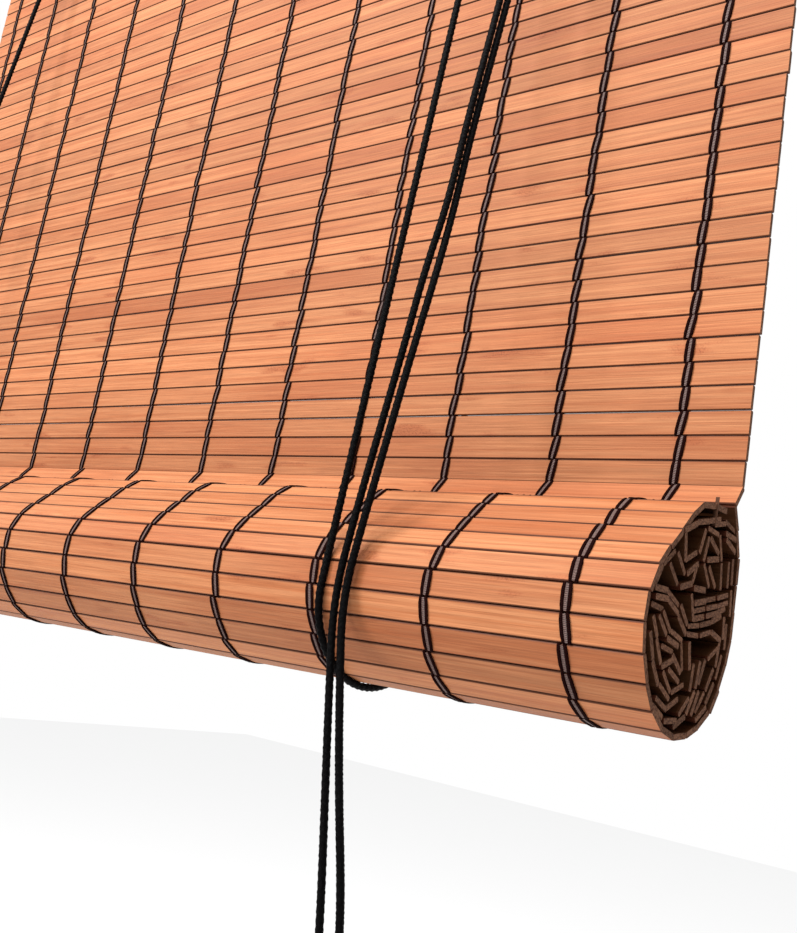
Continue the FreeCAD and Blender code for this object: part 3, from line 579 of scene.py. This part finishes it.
# ---------------------------------------------------------------- the roll
# (y, z) from the flat curtain's lower front edge. The outer turn goes down the back, under, up the
# front and over the top, and each pair below it is the section of one slat wound or slipped inside.
ROLL_ORIGIN = (-14.0, -438.4)
ROLL_HUB = (-29.0, -48.0)
OUTER_TURN = [(3.7, -41.9), (4.0, -47.0), (3.0, -56.0), (0.0, -63.0), (-3.0, -69.0), (-8.0, -76.0),
              (-14.0, -80.0), (-22.0, -83.5), (-32.0, -84.8), (-41.0, -83.0), (-48.5, -78.5), (-54.0, -72.0),
              (-58.5, -64.5), (-60.5, -56.0), (-61.0, -47.0), (-57.5, -38.0), (-50.0, -30.0), (-43.0, -23.8),
              (-36.5, -17.5), (-29.0, -12.2), (-20.0, -10.8), (-11.0, -10.4), (-3.5, -12.6)]
INNER_SLATS = [
    ((-41.5, -22.8), (-33.0, -19.0)), ((-32.6, -18.6), (-24.0, -16.6)), ((-23.6, -16.4), (-15.2, -14.2)),
    ((-18.6, -16.6), (-10.2, -14.6)), ((-9.6, -13.8), (-0.8, -15.6)), ((-9.8, -17.8), (-1.0, -18.4)),
    ((-9.4, -19.8), (-1.0, -22.6)), ((-24.0, -18.8), (-15.4, -19.4)), ((-25.6, -19.6), (-28.6, -27.6)),
    ((-22.6, -21.6), (-25.2, -29.6)), ((-21.4, -21.6), (-13.8, -25.4)), ((-14.4, -19.4), (-11.2, -27.2)),
    ((-22.6, -28.8), (-13.8, -27.0)), ((-10.8, -28.0), (-9.6, -36.4)), ((-25.0, -30.6), (-19.6, -37.0)),
    ((-19.2, -30.4), (-12.8, -36.2)), ((-35.8, -35.4), (-28.4, -31.0)), ((-29.2, -32.0), (-31.2, -37.4)),
    ((-40.2, -23.6), (-38.4, -31.8)), ((-37.6, -31.4), (-29.8, -27.6)), ((-43.8, -30.2), (-37.4, -35.8)),
    ((-48.6, -34.4), (-42.0, -39.8)), ((-40.4, -40.2), (-32.2, -37.8)), ((-30.4, -39.0), (-21.8, -38.4)),
    ((-52.4, -35.2), (-45.6, -30.0)), ((-56.4, -42.0), (-52.6, -35.6)), ((-56.0, -42.6), (-47.4, -42.4)),
    ((-46.8, -42.6), (-38.6, -45.6)), ((-38.0, -45.4), (-32.0, -50.6)), ((-55.6, -45.2), (-47.0, -44.8)),
    ((-46.4, -45.2), (-38.8, -48.2)), ((-38.4, -48.8), (-31.6, -53.6)), ((-57.0, -47.6), (-49.0, -48.2)),
    ((-31.6, -41.0), (-28.4, -48.8)), ((-28.8, -43.4), (-20.6, -41.6)), ((-20.2, -41.4), (-12.0, -39.6)),
    ((-11.6, -39.4), (-3.4, -37.2)), ((-28.0, -45.8), (-19.8, -44.0)), ((-19.4, -43.8), (-11.2, -42.0)),
    ((-10.8, -41.8), (-3.0, -39.6)), ((-27.0, -48.2), (-19.0, -46.4)), ((-18.6, -46.2), (-10.6, -44.2)),
    ((-10.2, -44.0), (-3.4, -41.8)), ((-30.0, -50.8), (-21.8, -49.6)), ((-21.4, -49.4), (-13.4, -47.6)),
    ((-12.8, -47.2), (-5.4, -44.4)), ((-30.2, -53.2), (-21.8, -52.8)), ((-21.4, -52.6), (-13.6, -50.6)),
    ((-13.0, -50.6), (-4.8, -52.4)), ((-3.6, -44.6), (-3.0, -51.6)), ((-52.0, -50.4), (-45.8, -55.4)),
    ((-45.2, -56.2), (-36.8, -57.8)), ((-49.6, -48.8), (-43.4, -54.2)), ((-42.6, -53.8), (-34.2, -55.8)),
    ((-33.4, -56.6), (-30.8, -64.6)), ((-29.6, -55.6), (-27.4, -63.8)), ((-55.6, -51.0), (-51.6, -56.6)),
    ((-51.4, -57.2), (-46.8, -64.0)), ((-47.2, -58.8), (-39.0, -59.8)), ((-46.0, -64.8), (-38.2, -61.8)),
    ((-39.4, -60.6), (-32.4, -65.4)), ((-41.0, -65.0), (-32.8, -68.2)), ((-37.2, -71.6), (-29.2, -68.6)),
    ((-44.4, -66.0), (-38.0, -71.6)), ((-57.2, -55.8), (-53.6, -63.4)), ((-52.8, -63.8), (-47.4, -70.2)),
    ((-46.0, -70.0), (-38.4, -73.8)), ((-39.4, -76.6), (-31.8, -73.2)), ((-31.0, -77.8), (-24.8, -72.4)),
    ((-47.8, -74.0), (-39.8, -77.0)), ((-49.0, -76.2), (-41.4, -79.4)), ((-40.8, -80.2), (-32.2, -79.6)),
    ((-33.0, -81.6), (-25.2, -78.0)), ((-25.2, -77.2), (-20.6, -70.0)), ((-21.6, -77.4), (-17.6, -69.8)),
    ((-17.8, -76.4), (-12.4, -69.8)), ((-12.0, -69.0), (-7.6, -61.8)), ((-24.2, -70.2), (-23.2, -61.8)),
    ((-21.2, -69.0), (-19.6, -60.6)), ((-18.2, -67.4), (-14.8, -59.6)), ((-6.6, -61.0), (-5.4, -53.4)),
    ((-13.8, -59.2), (-6.4, -54.8)), ((-5.0, -26.6), (-4.4, -35.0)), ((-1.6, -25.0), (-0.8, -33.4)),
    ((-0.4, -35.2), (0.6, -43.6)), ((-0.6, -46.6), (-0.4, -54.8)), ((-2.0, -57.0), (-5.0, -64.8)),
    ((-5.8, -66.4), (-10.8, -73.2)), ((-11.6, -74.2), (-18.8, -78.8)),
]
SPLINTER_FOOT = (-18.6, -17.0)
BEHIND_HUB = 15.0        # outer slats further back than this from the hub face the wall


def walk(points, step):
    """Points one step apart along a line of straight runs."""
    placed = [points[0]]
    run = 0
    at = points[0]
    while run < len(points) - 1:
        end = points[run + 1]
        low = 0.0
        high = 1.0
        if math.dist(placed[-1], end) < step:
            run += 1
            at = end
            continue
        for _ in range(30):
            share = (low + high) / 2
            trial = (at[0] + (end[0] - at[0]) * share, at[1] + (end[1] - at[1]) * share)
            if math.dist(placed[-1], trial) < step:
                low = share
            else:
                high = share
        at = trial
        placed.append(trial)
    return placed


def add_hooks(builder, slat, columns):
    """Slack bights of thread that stand up where the slats turn down behind the roll's top."""
    face = slat.thick / 2 + 0.3
    for column in columns:
        for side in (-1.4, 1.4):
            x = column + side
            path = [(x, slat.half - 1.0, face), (x, slat.half - 0.3, face + 1.3),
                    (x + 0.5, slat.half + 0.4, face + 1.7), (x + 0.9, slat.half + 1.0, face + 1.0),
                    (x + 0.9, slat.half + 1.1, face - 0.4)]
            add_stitch(builder, slat, path, 0.9, 0.8, 0)


def add_splinter(builder, foot):
    """A thin sliver that has split off the last slat's edge and stands up at the roll's end."""
    splinter = Slat((foot[0], foot[1] + 9.5), (foot[0] - 0.8, foot[1]), trim=0.0, thick=0.5)
    section = [(-splinter.half, 0.05), (splinter.half, 0.3), (splinter.half, -0.3), (-splinter.half, -0.05)]
    rings = []
    for x, narrow in ((WIDTH / 2 - 1.4, 0.5), (WIDTH / 2 - 0.1, 1.0)):
        rings.append(builder.add_points([splinter.point(x, a, b * narrow) for a, b in section], 0.3, 0.2))
    for k in range(4):
        n = (k + 1) % 4
        builder.add_face([rings[0] + k, rings[1] + k, rings[1] + n, rings[0] + n], [(0.0, 0.0)] * 4, 1)
    builder.add_face([rings[0] + k for k in range(4)], [(0.0, 0.0)] * 4, 1)
    builder.add_face([rings[1] + k for k in reversed(range(4))], [(0.0, 0.0)] * 4, 1)


def make_roll():
    def moved(point):
        return (point[0] + ROLL_ORIGIN[0], point[1] + ROLL_ORIGIN[1])

    slats = Builder()
    threads = Builder()
    hub = moved(ROLL_HUB)
    columns = [x + drift(x) for x in COLUMN_XS]
    corners = [moved(p) for p in walk(OUTER_TURN, SLAT_PITCH)]
    for top, bottom in zip(corners[:-1], corners[1:]):
        behind = top[0] > hub[0] + BEHIND_HUB
        slat = Slat(top, bottom, outward=hub, trim=-0.1 if behind else rng.choice((0.0, 0.04, 0.1, 0.16)))
        # Painted shade: the face turned into the roll takes the darker copy of the bamboo.
        add_slat(slats, slat, 24, 0.25, kinds=(0, 2))
        stitch_slat(threads, slat, columns, 1.3, 1.35, back=False)
        if bottom[1] == max(z for _, z in corners):
            add_hooks(threads, slat, columns)
    add_splinter(slats, moved(SPLINTER_FOOT))
    for top, bottom in INNER_SLATS:
        slat = Slat(moved(top), moved(bottom), trim=-0.2, thick=rng.uniform(1.6, 2.0))
        # Painted shade: the slats inside the roll take the darker copy of the bamboo on both faces.
        add_slat(slats, slat, 6, 0.2, inset=0.9, kinds=(2, 2))
    roll = slats.build("roll_slats", [FACE, END, PAINTED_SHADE_INSIDE])
    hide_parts("rolled_turns")
    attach(roll, "roll")
    stitching = threads.build("roll_stitching", [THREAD, FILLER], smooth=True)
    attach(stitching, "roll")


# ---------------------------------------------------------------- cords
# Points of the two pull cords from the lock down to their hank. They are those of part.py, but for the
# last, which stops a little higher, where the hank's turns begin.
PULL_A = [(194.0, -34.0, -80.0), (194.0, -35.8, -108.0), (193.8, -41.0, -155.0), (193.6, -47.5, -210.0),
          (193.2, -54.0, -262.0), (192.0, -59.0, -306.0), (192.0, -62.5, -341.0), (188.6, -65.5, -370.0),
          (187.6, -69.0, -402.0), (186.2, -73.2, -436.0), (185.6, -77.4, -466.0), (183.4, -78.8, -496.0),
          (188.0, -78.4, -526.0), (193.4, -78.0, -558.0), (199.4, -77.8, -592.0), (202.6, -77.6, -614.0)]
PULL_B = [(194.0, -24.0, -80.0), (194.4, -27.2, -108.0), (194.8, -36.0, -155.0), (194.6, -43.8, -210.0),
          (194.0, -50.4, -262.0), (192.6, -55.4, -306.0), (192.8, -59.0, -341.0), (193.0, -63.6, -370.0),
          (191.6, -68.2, -402.0), (190.8, -73.0, -436.0), (190.0, -77.2, -466.0), (187.4, -78.8, -496.0),
          (192.6, -78.2, -526.0), (199.4, -78.0, -558.0), (208.0, -77.6, -592.0), (211.0, -77.4, -614.0)]


def nurbs_line(name, points):
    """A smooth line with these points as its control points, read back from a NURBS spline."""
    curve = bpy.data.curves.new(name, "CURVE")
    curve.dimensions = "3D"
    spline = curve.splines.new("NURBS")
    spline.points.add(len(points) - 1)
    for spot, place in zip(spline.points, points):
        spot.co = mm(*place) + (1.0,)
    spline.order_u = 3
    spline.use_endpoint_u = True
    spline.resolution_u = 14
    holder = bpy.data.objects.new(name, curve)
    bpy.context.scene.collection.objects.link(holder)
    mesh = bpy.data.meshes.new_from_object(holder)
    line = np.array([v.co for v in mesh.vertices], float) / MM
    bpy.data.objects.remove(holder)
    bpy.data.curves.remove(curve)
    bpy.data.meshes.remove(mesh)
    return line


def evenly(line, step):
    """Points an even step apart along a fine line."""
    runs = np.linalg.norm(np.diff(line, axis=0), axis=1)
    keep = np.concatenate([[True], runs > 1e-6])
    line = line[keep]
    along = np.concatenate([[0.0], np.cumsum(np.linalg.norm(np.diff(line, axis=0), axis=1))])
    count = max(2, int(round(along[-1] / step)))
    wanted = np.linspace(0.0, along[-1], count + 1)
    return np.stack([np.interp(wanted, along, line[:, k]) for k in range(3)], axis=1), along[-1]


def braided_tube(name, line, diameter, step, sides=10):
    """A tube whose surface rises and falls as the strands of a braid cross over each other."""
    centres, length = evenly(line, step)
    heading = np.gradient(centres, axis=0)
    heading /= np.linalg.norm(heading, axis=1)[:, None]
    side = np.cross(heading[0], (0.3, 1.0, 0.2))
    side /= np.linalg.norm(side)
    builder = Builder()
    rings = []
    for i, centre in enumerate(centres):
        side = side - heading[i] * np.dot(side, heading[i])
        side /= np.linalg.norm(side)
        other = np.cross(heading[i], side)
        run = length * i / (len(centres) - 1)
        ring = []
        for k in range(sides):
            angle = 2 * math.pi * k / sides
            wave = abs(math.cos(angle + run * 1.1)) * abs(math.cos(angle - run * 1.1))
            r = diameter / 2 * (0.92 + 0.24 * wave)
            ring.append(tuple(centre + (side * math.cos(angle) + other * math.sin(angle)) * r))
        rings.append((run, builder.add_points(ring)))
    for (r0, first), (r1, second) in zip(rings[:-1], rings[1:]):
        for k in range(sides):
            n = (k + 1) % sides
            v0 = k / sides / MM
            v1 = (k + 1) / sides / MM
            builder.add_face([first + k, second + k, second + n, first + n],
                             [(r0, v0), (r1, v0), (r1, v1), (r0, v1)])
    for first in (rings[0][1], rings[-1][1]):
        builder.add_face([first + k for k in range(sides)], [(0.0, 0.0)] * sides)
    piece = builder.build(name, [CORD], smooth=True)
    return piece, centres, length


def polygon_round(centre, radius, angles, step):
    """Corners of runs laid round a circle, each touching it halfway."""
    reach = radius / math.cos(math.radians(step / 2))
    return [(centre[0] + reach * math.cos(math.radians(t)), centre[1] + reach * math.sin(math.radians(t)))
            for t in angles]


def make_lift_cord(name, node, x, x_top, y_top):
    """From its wheel down the front, under the roll, and up the back to its knot on the headrail."""
    x = x - CORD_STRAY
    x_low = x_top - CORD_STRAY * 0.6
    under_roll = polygon_round(LOOP_CENTRE, LOOP_R, [-165.0 + 30.0 * i for i in range(6)], 30.0)
    loop = [(x, y, z) for y, z in under_roll]
    front = [(x_top, y_top, WHEEL_Z), (x_top, y_top, WHEEL_Z - 20.0), (x_low, y_top - 5.2, WHEEL_Z - 70.0)]
    near_loop = (x, loop[0][1] + 1.6, loop[0][2] + 19.0)
    leaving = (x, loop[-1][1] - 0.6, loop[-1][2] + 19.0)
    hole_x = x + CORD_STRAY
    behind = [leaving, (hole_x, -9.0, HOLE_Z - 17.0), (hole_x, -9.0, HOLE_Z), (hole_x, -40.0, HOLE_Z)]
    line = nurbs_line(name, front + [near_loop] + loop + behind)
    piece, centres, length = braided_tube(name, line, CORD_D, 0.6)
    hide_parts(node)
    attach(piece, "root")
    print("cord", name, round(length, 1))
    return piece


def make_cross_cord():
    start = (LEFT_CORD_X, SIDE_WHEEL_Y, WHEEL_Z)
    round_wheel = polygon_round((SIDE_WHEEL_X, WHEEL_Z), WHEEL_CORD_R, [157.5, 112.5], 45.0)
    corners = [(a, SIDE_WHEEL_Y, b) for a, b in round_wheel]
    end = (LOCK_WHEEL_X, LOCK_REAR_Y, WHEEL_Z + WHEEL_CORD_R)
    leaving = (SIDE_WHEEL_X + 17.0, -29.8, WHEEL_Z + WHEEL_CORD_R)
    line = nurbs_line("cross", [start] + corners + [leaving, end])
    piece, centres, length = braided_tube("cross_cord_look", line, CORD_D, 0.7)
    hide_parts("cross_cord")
    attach(piece, "root")
    print("cord cross", round(length, 1))


def hank_turns(side, layers):
    """Long oval turns that wind in on one layer and out on the next. side -1 starts on the left."""
    points = []
    grow = 2.8
    widest = 12.4
    turns = 3
    for number, layer in enumerate(layers):
        for i in range(12 * turns):
            share = i / 12.0
            inward = share if number % 2 == 0 else turns - share
            r = widest - grow * min(inward, 2.4)
            high = HANK_HALF_HEIGHT - 1.6 - (widest - r)
            run = high - r
            oval = [(-r, run * 0.33), (-r, -run * 0.33), (-r, -run - 0.414 * r), (-0.414 * r, -high),
                    (0.414 * r, -high), (r, -run - 0.414 * r), (r, -run * 0.33), (r, run * 0.33),
                    (r, run + 0.414 * r), (0.414 * r, high), (-0.414 * r, high), (-r, run + 0.414 * r)]
            dx, dz = oval[i % 12]
            points.append((HANK[0] + -side * dx, HANK[1] + layer, HANK[2] + dz))
    return points


def make_pull_cord(name, node, wheel_y, route, angles, side, layers):
    """Over its wheel, down in front of the roll, and round and round in the hank to the pull."""
    over = [(a, wheel_y, b) for a, b in polygon_round((LOCK_WHEEL_X, WHEEL_Z), WHEEL_CORD_R, angles, 45.0)]
    if side < 0:
        start = (LOCK_WHEEL_X - WHEEL_CORD_R, wheel_y, WHEEL_Z)
    else:
        start = (LOCK_WHEEL_X, wheel_y, WHEEL_Z + WHEEL_CORD_R)
    turns = hank_turns(side, layers)
    tail = [(HANK[0] + side * 6.0, HANK[1] + layers[-1] * 0.6, HANK[2] - 30.0),
            (HANK[0] + side * 1.7, HANK[1], HANK[2] - 40.0),
            (HANK[0] + side * 1.7, HANK[1], PULL_TOP - 3.0)]
    line = nurbs_line(name, [start] + over + route + turns + tail)
    piece, centres, length = braided_tube(name, line, CORD_D, 0.75)
    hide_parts(node)
    print("cord", name, round(length, 1))
    return piece, centres, length


def lathe(name, axis, outline, sides, materials):
    """A turned piece: outline is (radius, height) from top to bottom."""
    builder = Builder()
    rings = []
    for r, z in outline:
        turns = [2 * math.pi * k / sides for k in range(sides)]
        ring = [(axis[0] + r * math.cos(turn), axis[1] + r * math.sin(turn), z) for turn in turns]
        rings.append(builder.add_points(ring))
    for first, second in zip(rings[:-1], rings[1:]):
        for k in range(sides):
            n = (k + 1) % sides
            builder.add_face([first + k, second + k, second + n, first + n], [(0.0, 0.0)] * 4)
    builder.add_face([rings[0] + k for k in range(sides)], [(0.0, 0.0)] * sides)
    builder.add_face([rings[-1] + k for k in reversed(range(sides))], [(0.0, 0.0)] * sides)
    return builder.build(name, materials, smooth=True)


def make_cord_pull():
    """A turned bell with a beaded neck and a rounded lip: its profile is (radius, depth below the top)."""
    profile = [(2.2, 0.0), (3.6, 0.2), (4.4, 1.0), (4.7, 2.2), (4.3, 3.4), (3.9, 4.2), (4.2, 5.4),
               (4.9, 8.0), (5.6, 12.0), (6.3, 16.0), (7.1, 20.0), (8.0, 24.0), (8.6, 26.4), (9.0, 28.4),
               (8.9, 30.0), (8.3, 31.2), (7.4, 31.8), (6.4, 32.0), (5.6, 31.0), (3.0, 29.6), (0.6, 29.2)]
    outline = [(r, PULL_TOP - depth) for r, depth in profile]
    pull = lathe("cord_pull_look", (HANK[0], HANK[1]), outline, 40, [PULL_WOOD])
    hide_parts("cord_pull")
    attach(pull, "pull")
    return pull


def make_tie():
    """Three turns of cord round the hank's waist."""
    half_wide = 16.1
    half_deep = 14.1
    points = []
    for i in range(12 * 3 + 1):
        angle = 2 * math.pi * i / 12.0
        squarish = 1.0 + 0.07 * abs(math.sin(2 * angle))
        points.append((HANK[0] + half_wide * squarish * math.cos(angle),
                       HANK[1] + half_deep * squarish * math.sin(angle),
                       HANK[2] + 2.7 - 5.4 * i / 36.0))
    line = nurbs_line("tie", points)
    piece, _, _ = braided_tube("hank_tie_look", line, 2.4, 0.7)
    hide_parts("hank_tie", "pull_cord_ends", "cord_hank")
    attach(piece, "pull")
    return piece


def make_knots():
    """Overhand knots that stop the lift cords on the headrail's face."""
    for name, x in (("knot_right", RIGHT_CORD_X), ("knot_left", LEFT_CORD_X)):
        points = []
        for i in range(26):
            angle = 2 * math.pi * i / 12.0
            ring = 2.0 + 0.75 * math.cos(angle * 1.5)
            points.append((x + ring * math.cos(angle), -43.4 + 0.9 * math.sin(angle * 1.5),
                           HOLE_Z + ring * math.sin(angle)))
        line = nurbs_line(name, points)
        piece, _, _ = braided_tube(name, line, 2.2, 0.4)
        if x > 0:
            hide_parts("cord_knots")
        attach(piece, "root")


def make_cords():
    right = make_lift_cord("lift_cord_right_look", "lift_cord_right", RIGHT_CORD_X,
                           LOCK_WHEEL_X - WHEEL_CORD_R, LOCK_FRONT_Y)
    left = make_lift_cord("lift_cord_left_look", "lift_cord_left", LEFT_CORD_X, LEFT_CORD_X, SIDE_WHEEL_Y)
    make_cross_cord()
    make_knots()
    tie = make_tie()
    pull = make_cord_pull()
    for name, node, wheel_y, route, angles, side, layers in (
            ("pull_cord_a_look", "pull_cord_a", LOCK_FRONT_Y, PULL_A, [157.5, 112.5, 67.5, 22.5], -1,
             (-9.8, -4.2, 1.4, 7.0)),
            ("pull_cord_b_look", "pull_cord_b", LOCK_REAR_Y, PULL_B, [67.5, 22.5], 1,
             (9.8, 4.2, -1.4, -7.0))):
        piece, centres, length = make_pull_cord(name, node, wheel_y, route, angles, side, layers)
        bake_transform(piece)
    for piece in (right, left):
        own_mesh(piece)


make_cords()
make_flat_curtain()
make_turning_slats()
make_roll()


# ---------------------------------------------------------------- CAD pieces that stay
def finish_cad():
    finishes = {
        "headrail": RAIL_WOOD, "hanger_left": STEEL, "hanger_right": STEEL, "hanger_screws": STEEL,
        "curtain_screws": STEEL, "lock_bracket": STEEL, "lock_screws": STEEL, "side_bracket": STEEL,
        "side_screws": STEEL, "wheel_pin": PINS, "cam_pin": PINS, "side_pin": PINS, "wheel_spacer": PINS,
        "lock_cam": PINS, "front_wheel": WHEEL, "rear_wheel": WHEEL, "side_wheel": WHEEL,
    }
    for node, material in finishes.items():
        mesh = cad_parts[node].data
        mesh.materials.clear()
        mesh.materials.append(material)


finish_cad()


# ---------------------------------------------------------------- floor, light and background
FLOOR_Z = -1300.0


def make_stage():
    reach = 6000
    floor_mesh = bpy.data.meshes.new("floor")
    square = ((-reach, -reach), (reach, -reach), (reach, reach), (-reach, reach))
    corners = [mm(x, y, FLOOR_Z) for x, y in square]
    floor_mesh.from_pydata(corners, [], [(0, 1, 2, 3)])
    floor = bpy.data.objects.new("floor", floor_mesh)
    bpy.context.scene.collection.objects.link(floor)
    pale = Shader("floor_pale").set(Base_Color=(0.90, 0.90, 0.90, 1), Roughness=0.95, Specular_IOR_Level=0.0)
    floor_mesh.materials.append(pale)
    world = bpy.data.worlds.new("studio")
    world.use_nodes = True
    world.node_tree.nodes["Background"].inputs[0].default_value = (1.0, 1.0, 1.0, 1)
    world.node_tree.nodes["Background"].inputs[1].default_value = 1.0
    bpy.context.scene.world = world
    for name, place, target, size, power in (
            ("key", (-900, -1500, 700), (50, -40, -420), 600, 42.0),
            ("top", (200, -700, 900), (100, -40, -400), 700, 32.0)):
        light = bpy.data.lights.new(name, "AREA")
        light.size = size * MM
        light.energy = power
        lamp = bpy.data.objects.new(name, light)
        lamp.location = mm(*place)
        aim = Vector(mm(*target)) - Vector(mm(*place))
        lamp.rotation_euler = aim.to_track_quat("-Z", "Y").to_euler()
        bpy.context.scene.collection.objects.link(lamp)
    bpy.context.scene.view_settings.view_transform = "Standard"


make_stage()
